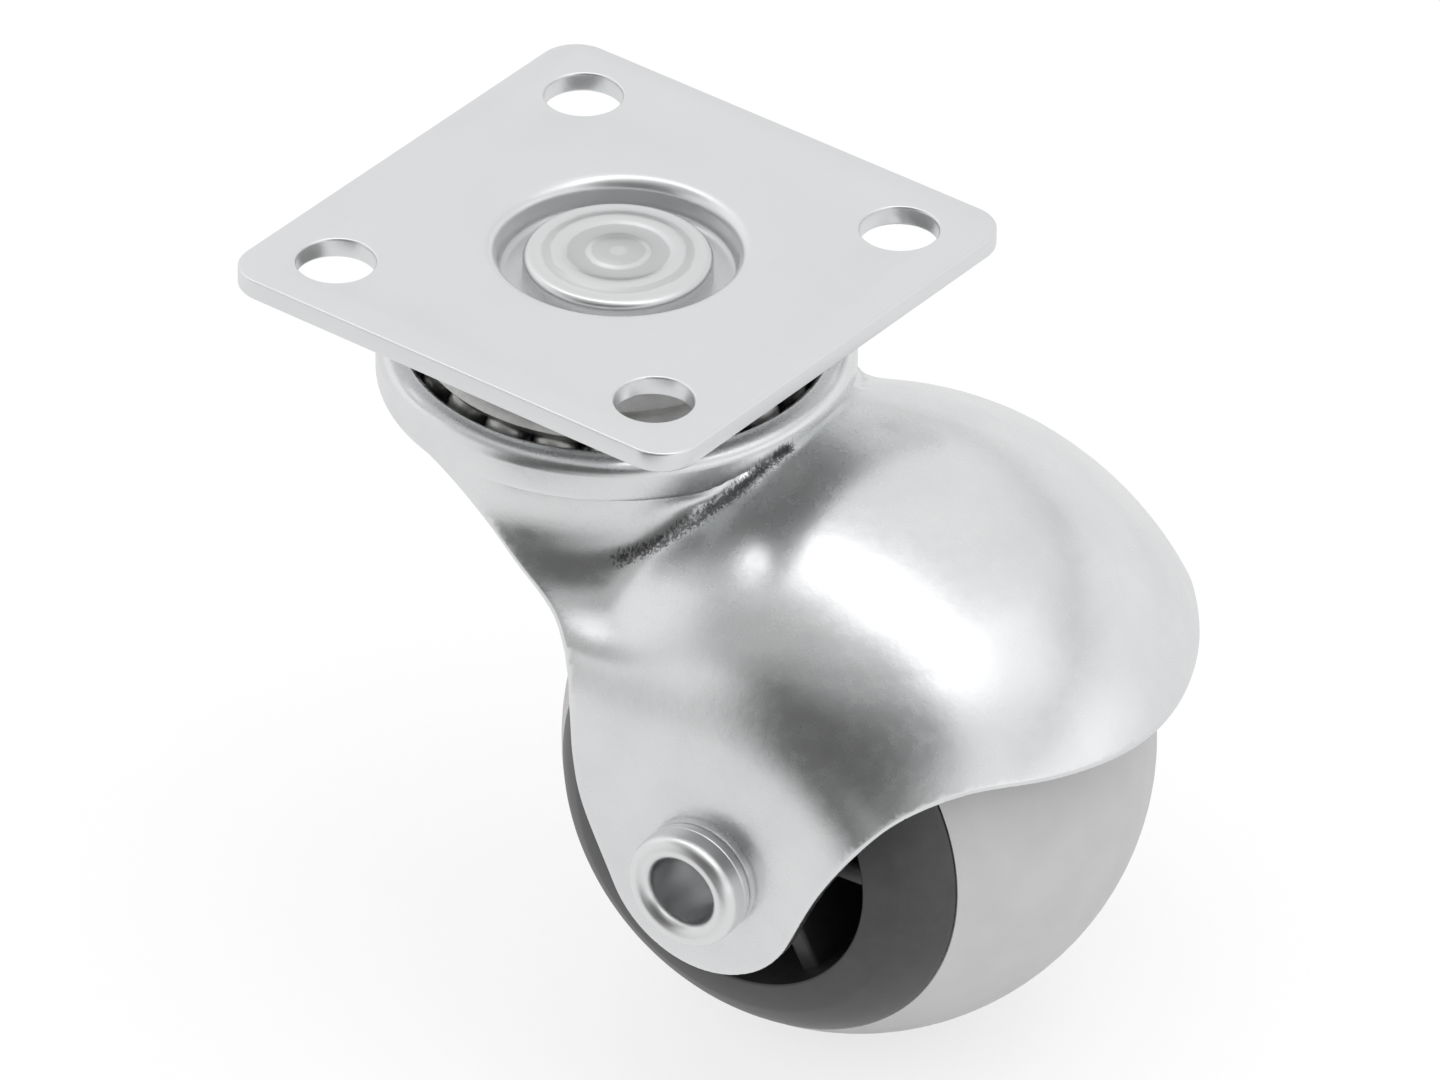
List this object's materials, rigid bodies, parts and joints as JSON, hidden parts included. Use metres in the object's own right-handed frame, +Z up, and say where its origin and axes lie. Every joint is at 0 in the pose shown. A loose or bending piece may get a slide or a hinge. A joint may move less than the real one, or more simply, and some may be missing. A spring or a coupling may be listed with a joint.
{
  "type": "castor",
  "caption": "Swivelling furniture castor with a square screw-on top plate, a pressed ball-shaped hood and a ball-shaped twin-domed wheel with a soft grey tread",
  "frame": {"origin": "centre of the plate's top (mounting) face, on the swivel axis", "axes": "+Z up through the mounting face, X and Y along the plate's edges; at rest the yoke trails towards +X, turned 4.7 degrees about Z"},
  "size_m": [0.0624, 0.0456, 0.0526],
  "materials": {
    "zinc_plate": "bright zinc plating on pressed sheet steel",
    "zinc_yoke": "polished zinc plating on deep-drawn sheet steel",
    "turned_steel": "turned rivet head, zinc plated",
    "race_steel": "dark greased pressed steel",
    "ball_steel": "polished bearing ball under grease",
    "axle_steel": "zinc plated rolled rivet end",
    "washer_steel": "zinc plated thin washer",
    "core_plastic": "dark grey moulded plastic, lightly grained",
    "tread_rubber": "warm light grey soft rubber, matt"
  },
  "bodies": {
    "plate": {"top_plate": "zinc_plate", "kingpin": "turned_steel", "upper_race": "race_steel", "thrust_washer": "race_steel"},
    "ball_ring": {"swivel_ball_01": "ball_steel", "swivel_ball_02": "ball_steel", "swivel_ball_03": "ball_steel", "swivel_ball_04": "ball_steel", "swivel_ball_05": "ball_steel", "swivel_ball_06": "ball_steel", "swivel_ball_07": "ball_steel", "swivel_ball_08": "ball_steel", "swivel_ball_09": "ball_steel", "swivel_ball_10": "ball_steel", "swivel_ball_11": "ball_steel", "swivel_ball_12": "ball_steel", "swivel_ball_13": "ball_steel", "swivel_ball_14": "ball_steel", "swivel_ball_15": "ball_steel", "swivel_ball_16": "ball_steel", "swivel_ball_17": "ball_steel", "swivel_ball_18": "ball_steel", "swivel_ball_19": "ball_steel", "swivel_ball_20": "ball_steel"},
    "yoke": {"hood_yoke": "zinc_yoke", "axle_rivet": "axle_steel", "axle_sleeve": "race_steel", "axle_washer_near": "washer_steel", "axle_washer_far": "washer_steel"},
    "wheel": {"wheel_core": "core_plastic", "wheel_tread": "tread_rubber"}
  },
  "joints": [
    {"name": "swivel", "type": "hinge", "parent": "plate", "child": "yoke", "pos_m": [0, 0, 0], "axis": [0, 0, 1], "continuous": true},
    {"name": "ball_roll", "type": "hinge", "parent": "plate", "child": "ball_ring", "pos_m": [0, 0, 0], "axis": [0, 0, 1], "continuous": true},
    {"name": "wheel_spin", "type": "hinge", "parent": "yoke", "child": "wheel", "pos_m": [0.01993, 0.00164, -0.0324], "axis": [-0.0819, 0.9966, 0], "continuous": true}
  ],
  "couplings": [
    {"joint": "ball_roll", "follows": "swivel", "ratio": 0.5}
  ]
}
